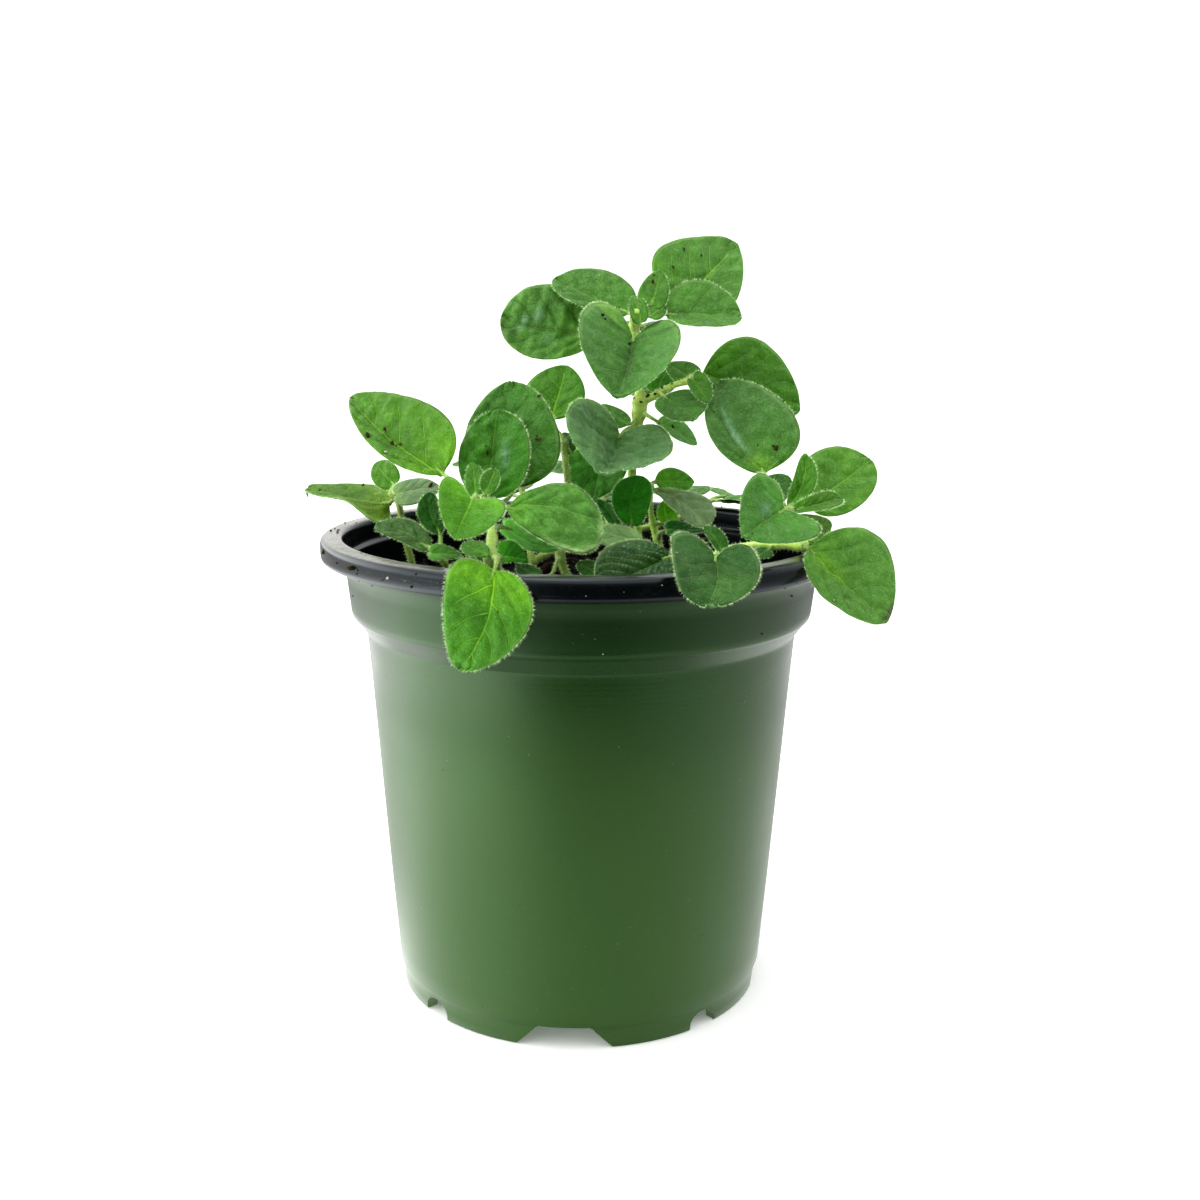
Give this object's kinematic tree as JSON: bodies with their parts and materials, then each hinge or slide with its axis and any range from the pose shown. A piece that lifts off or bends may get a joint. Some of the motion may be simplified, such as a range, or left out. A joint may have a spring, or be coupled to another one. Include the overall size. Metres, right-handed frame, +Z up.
{
  "type": "potted oregano plant",
  "caption": "Young oregano plant with small rounded fuzzy leaves on branching stems, growing in dark bark mix in a round green plastic nursery pot that stands on its foot ring.",
  "frame": {"origin": "centre of the pot's foot ring, on the surface the pot stands on", "axes": "+Z up along the pot's axis, -Y towards the viewer of the pot's front, +X to the viewer's right"},
  "size_m": [0.1252, 0.1268, 0.166],
  "materials": {
    "pot_plastic": "satin",
    "growing_mix": "matte",
    "stem_green": "matte",
    "leaf_green": "matte",
    "leaf_young": "matte",
    "leaf_dark": "matte",
    "leaf_grey": "matte"
  },
  "bodies": {
    "root": {"nursery_pot": "pot_plastic", "growing_mix": "growing_mix", "stem_main": "stem_green", "stem_front": "stem_green", "stem_left": "stem_green", "stem_right": "stem_green", "stem_centre": "stem_green", "stem_mid": "stem_green", "stem_back": "stem_green", "top_leaf_left": "leaf_grey", "top_leaf_left_lower": "leaf_dark", "top_leaf_front": "leaf_green", "top_leaf_right_upper": "leaf_green", "top_leaf_right": "leaf_green", "main_leaf_front": "leaf_grey", "main_leaf_right": "leaf_grey", "main_leaf_back_right": "leaf_dark", "branch_leaf_front": "leaf_grey", "branch_leaf_right": "leaf_dark", "right_leaf_tall": "leaf_green", "mid_leaf_tall": "leaf_young", "main_leaf_low_left": "leaf_dark", "centre_leaf_upright": "leaf_dark", "centre_leaf_left": "leaf_dark", "centre_leaf_right_upper": "leaf_green", "centre_leaf_right_lower": "leaf_grey", "centre_leaf_arched": "leaf_dark", "right_leaf_over_rim": "leaf_young", "right_leaf_front": "leaf_green", "right_leaf_folded_upright": "leaf_green", "right_leaf_folded_low": "leaf_green", "right_leaf_outer": "leaf_green", "right_leaf_inner": "leaf_green", "right_leaf_hanging": "leaf_green", "front_leaf_low_left": "leaf_young", "front_leaf_upright": "leaf_young", "front_leaf_back": "leaf_dark", "front_leaf_far_left": "leaf_young", "front_leaf_right": "leaf_green", "left_leaf_outer": "leaf_green", "left_leaf_inner": "leaf_grey", "front_leaf_dark": "leaf_dark", "front_leaf_long": "leaf_grey", "front_leaf_hanging": "leaf_young", "front_leaf_small": "leaf_green", "front_leaf_shaded": "leaf_grey", "right_leaf_broad_low": "leaf_grey", "centre_leaf_low": "leaf_grey", "back_leaf_upper": "leaf_green", "back_leaf_left": "leaf_green", "back_leaf_inner": "leaf_dark", "back_leaf_rim_left": "leaf_green", "back_leaf_rim_middle": "leaf_green", "back_leaf_rim_right": "leaf_green", "back_leaf_middle": "leaf_dark", "back_leaf_right": "leaf_green", "top_leaf_back": "leaf_green", "main_leaf_back": "leaf_green"}
  },
  "joints": []
}
